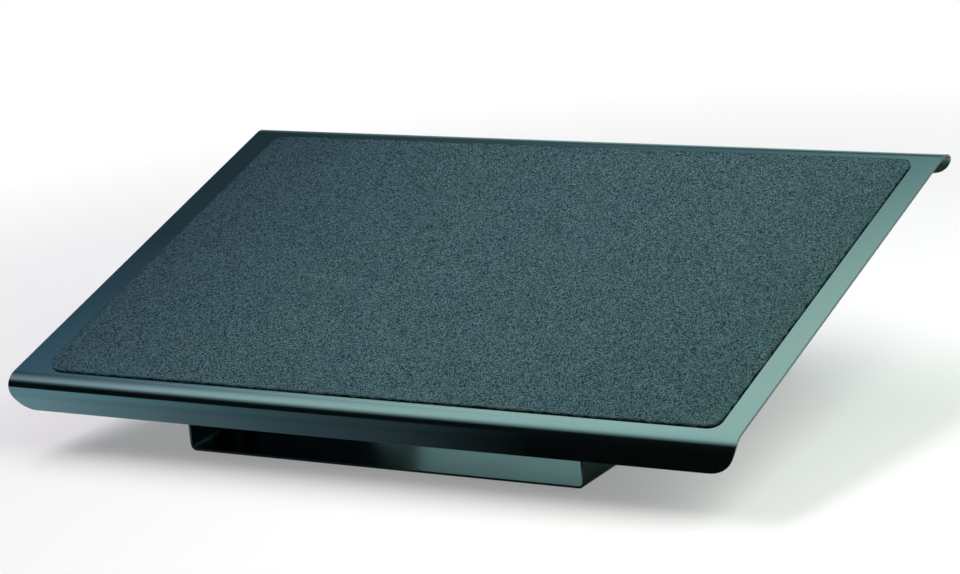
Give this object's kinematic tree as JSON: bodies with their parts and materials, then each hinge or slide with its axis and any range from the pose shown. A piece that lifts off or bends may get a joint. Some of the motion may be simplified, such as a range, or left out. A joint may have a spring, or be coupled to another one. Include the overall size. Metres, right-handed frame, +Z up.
{
  "type": "tilting under desk footrest",
  "caption": "Wide steel footrest platform with a slip-resistant tread mat, rocking forwards and back on a pivot in a low folded steel tray.",
  "frame": {"origin": "on the floor, at the middle of the footprint of the whole footrest with its front edge tilted down", "axes": "+X to the right across the long side, +Y to the rear, +Z up from the floor"},
  "size_m": [0.56, 0.3384, 0.1477],
  "materials": {
    "black_paint": "satin black powder paint",
    "tread_mat": "fine gritty tread, charcoal grey",
    "soft_rubber": "matt black rubber",
    "nylon": "natural nylon",
    "zinc_plate": "bright zinc plate"
  },
  "bodies": {
    "base": {"base_tray": "black_paint", "left_pivot_bush": "nylon", "right_pivot_bush": "nylon", "front_left_foot": "soft_rubber", "rear_left_foot": "soft_rubber", "front_right_foot": "soft_rubber", "rear_right_foot": "soft_rubber"},
    "platform": {"platform_panel": "black_paint", "tread_mat": "tread_mat", "left_rail": "black_paint", "right_rail": "black_paint", "left_pivot_bolt": "zinc_plate", "left_pivot_washer": "zinc_plate", "left_pivot_nut": "zinc_plate", "left_stud_1": "zinc_plate", "left_stud_nut_1": "zinc_plate", "left_stud_2": "zinc_plate", "left_stud_nut_2": "zinc_plate", "left_stud_3": "zinc_plate", "left_stud_nut_3": "zinc_plate", "left_stud_4": "zinc_plate", "left_stud_nut_4": "zinc_plate", "front_left_bumper": "soft_rubber", "rear_left_bumper": "soft_rubber", "right_pivot_bolt": "zinc_plate", "right_pivot_washer": "zinc_plate", "right_pivot_nut": "zinc_plate", "right_stud_1": "zinc_plate", "right_stud_nut_1": "zinc_plate", "right_stud_2": "zinc_plate", "right_stud_nut_2": "zinc_plate", "right_stud_3": "zinc_plate", "right_stud_nut_3": "zinc_plate", "right_stud_4": "zinc_plate", "right_stud_nut_4": "zinc_plate", "front_right_bumper": "soft_rubber", "rear_right_bumper": "soft_rubber"}
  },
  "joints": [
    {"name": "platform_tilt", "type": "hinge", "parent": "base", "child": "platform", "pos_m": [0, 0.00114, 0.0826], "axis": [1, 0, 0], "range_deg": [-32.6, 0]}
  ]
}
